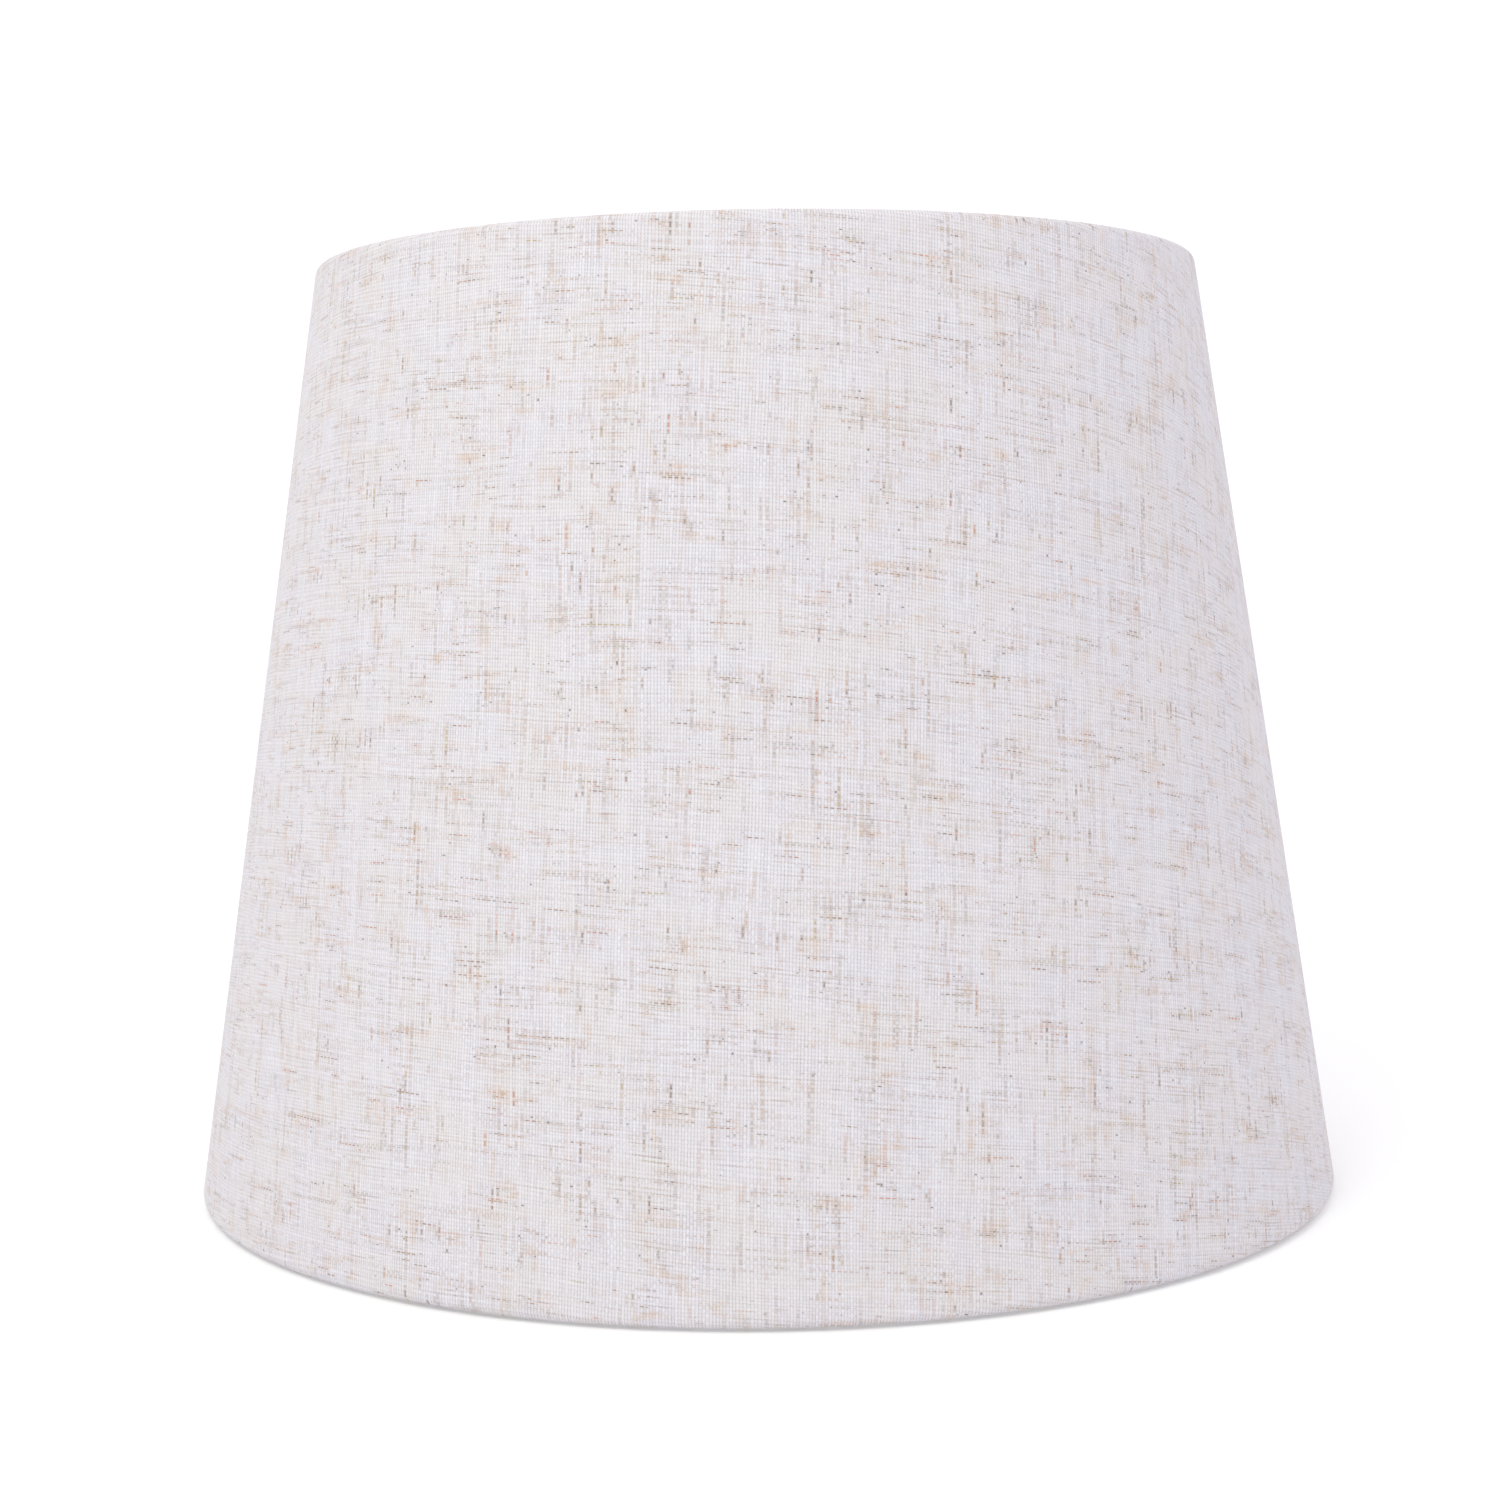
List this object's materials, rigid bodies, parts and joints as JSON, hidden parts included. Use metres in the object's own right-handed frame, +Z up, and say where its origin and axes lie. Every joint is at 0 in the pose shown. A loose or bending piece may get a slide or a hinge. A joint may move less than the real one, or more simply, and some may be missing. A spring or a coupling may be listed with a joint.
{
  "type": "lamp shade",
  "caption": "Tapered drum lamp shade in slubby linen-look cloth on a stiff plastic liner, with wired, rolled rims and a recessed spider fitter for a harp.",
  "frame": {"origin": "centre of the circle on which the bottom hem stands, in the plane of its lowest points", "axes": "+Z up along the shade's axis, towards the narrow rim and the spider; +Y to the back, where the lapped side seam is; -Y to the front"},
  "size_m": [0.3, 0.3014, 0.24],
  "materials": {
    "linen_cloth": "natural off-white plain weave with tan, olive and brown slubs",
    "liner_plastic": "translucent white, satin",
    "adhesive_tape": "matt, slightly yellow",
    "ring_wire": "drawn, zinc plated",
    "white_powder_coat": "satin white powder coat"
  },
  "bodies": {
    "root": {"fabric_cover": "linen_cloth", "liner_panel": "liner_plastic", "seam_tape": "adhesive_tape", "bottom_ring": "ring_wire", "bottom_ring_tape": "adhesive_tape", "top_ring": "white_powder_coat", "top_ring_tape": "adhesive_tape", "spider_arm_1": "white_powder_coat", "spider_arm_2": "white_powder_coat", "spider_arm_3": "white_powder_coat", "fitter_washer": "white_powder_coat"}
  },
  "joints": []
}
